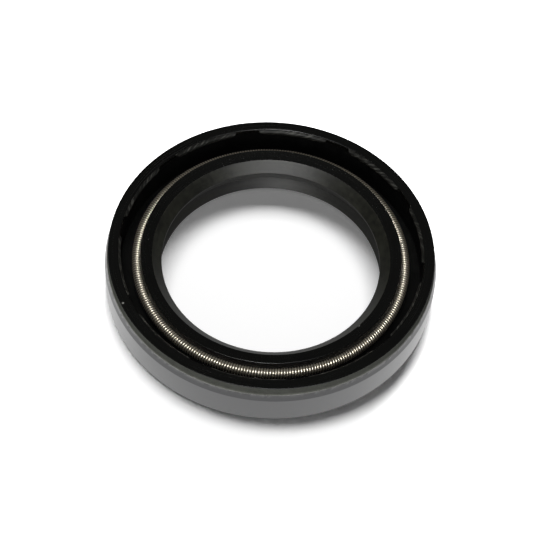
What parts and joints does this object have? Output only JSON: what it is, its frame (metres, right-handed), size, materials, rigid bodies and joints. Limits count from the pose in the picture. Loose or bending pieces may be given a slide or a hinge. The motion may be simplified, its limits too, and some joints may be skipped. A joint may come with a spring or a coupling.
{
  "type": "radial shaft seal",
  "caption": "Rubber-covered radial shaft seal with a sealing lip, a dust lip, an L-section steel case and a closed garter spring.",
  "frame": {"origin": "centre of the back (air side) face, on the shaft's axis", "axes": "+Z along the shaft's axis, from the back face towards the spring (oil) side"},
  "size_m": [0.052, 0.052, 0.008],
  "materials": {
    "rubber": "moulded nitrile rubber, satin",
    "case_steel": "black bonding coat on pressed steel",
    "spring_steel": "bright drawn wire"
  },
  "bodies": {
    "root": {"rubber_body": "rubber", "steel_case": "case_steel", "garter_spring": "spring_steel"}
  },
  "joints": []
}
